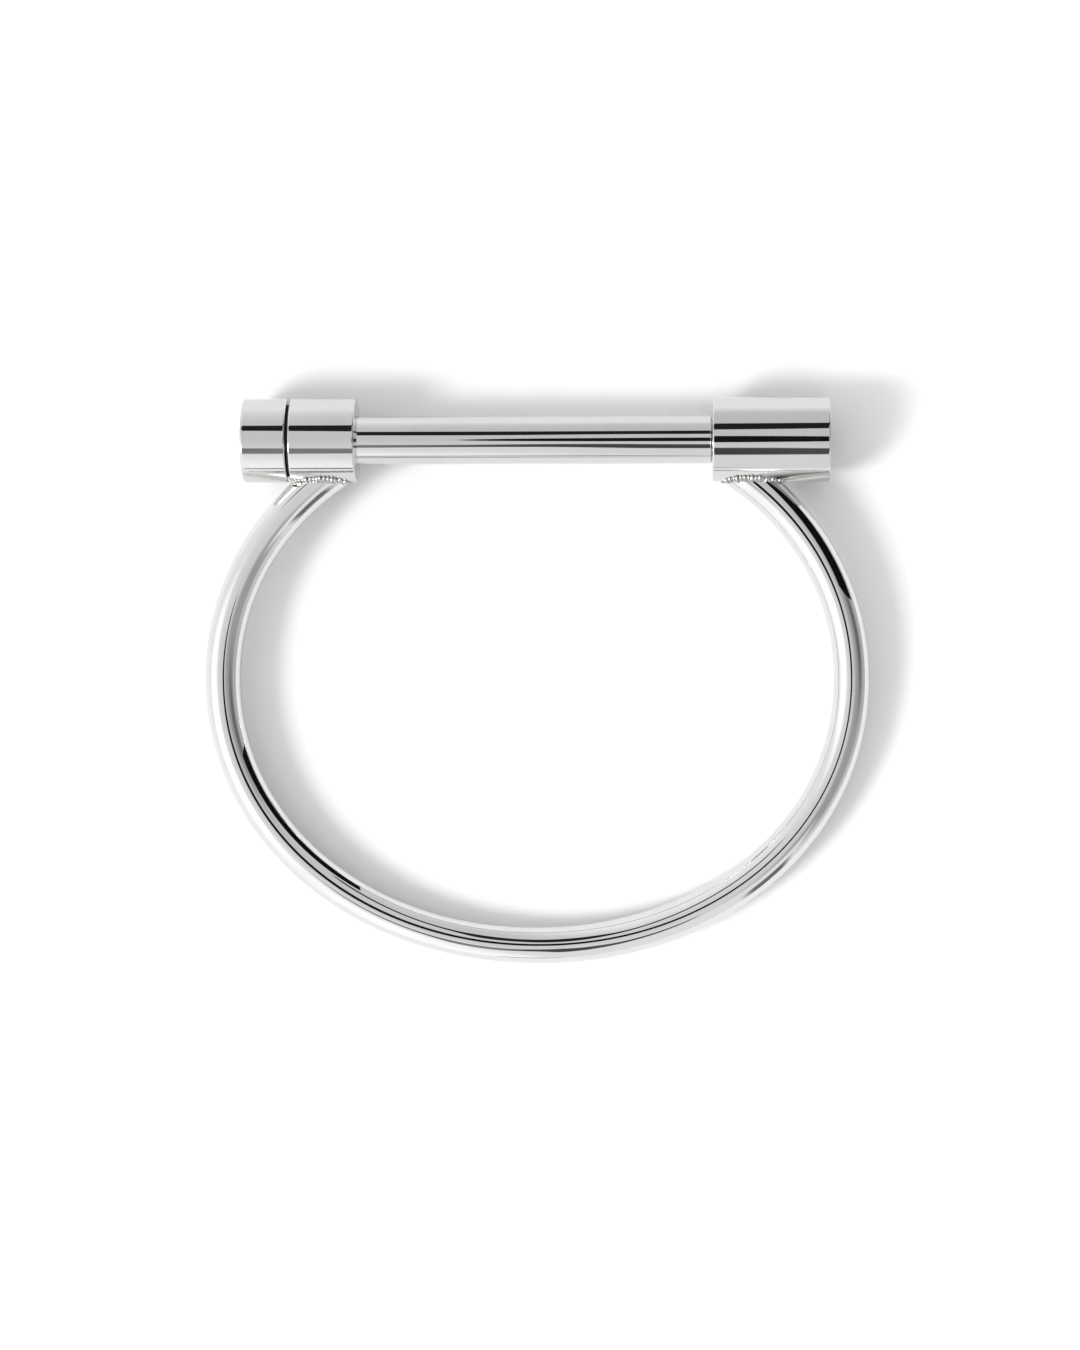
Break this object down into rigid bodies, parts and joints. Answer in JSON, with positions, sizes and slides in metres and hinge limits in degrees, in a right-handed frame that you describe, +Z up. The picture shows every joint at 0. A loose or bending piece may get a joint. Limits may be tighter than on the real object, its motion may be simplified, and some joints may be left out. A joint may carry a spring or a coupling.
{
  "type": "screw bar shackle cuff",
  "caption": "D-shaped polished steel shackle cuff: a bent rod bow welded to barrels and closed by a screw-in bar with a round head, lying flat.",
  "frame": {"origin": "middle of the footprint, on the surface that the shackle lies flat on", "axes": "+X along the bar from its head to the threaded barrel, +Y from the bow's bottom towards the bar, +Z up"},
  "size_m": [0.071, 0.0604, 0.009],
  "materials": {
    "bow_steel": "polished",
    "turned_steel": "polished",
    "bar_steel": "polished",
    "weld_steel": "gloss",
    "washer_nylon": "matte"
  },
  "bodies": {
    "shackle": {"bow": "bow_steel", "guide_barrel": "turned_steel", "threaded_barrel": "turned_steel", "guide_weld": "weld_steel", "threaded_weld": "weld_steel"},
    "washer": {"friction_washer": "washer_nylon"},
    "pin": {"screw_bar": "bar_steel", "bar_head": "turned_steel"}
  },
  "joints": [
    {"name": "pin_withdraw", "type": "slide", "parent": "shackle", "child": "washer", "axis": [-1, 0, 0], "range_m": [0, 0.058]},
    {"name": "pin_turn", "type": "hinge", "parent": "washer", "child": "pin", "pos_m": [0, 0.02572, 0.0045], "axis": [-1, 0, 0], "range_deg": [0, 3420]}
  ]
}
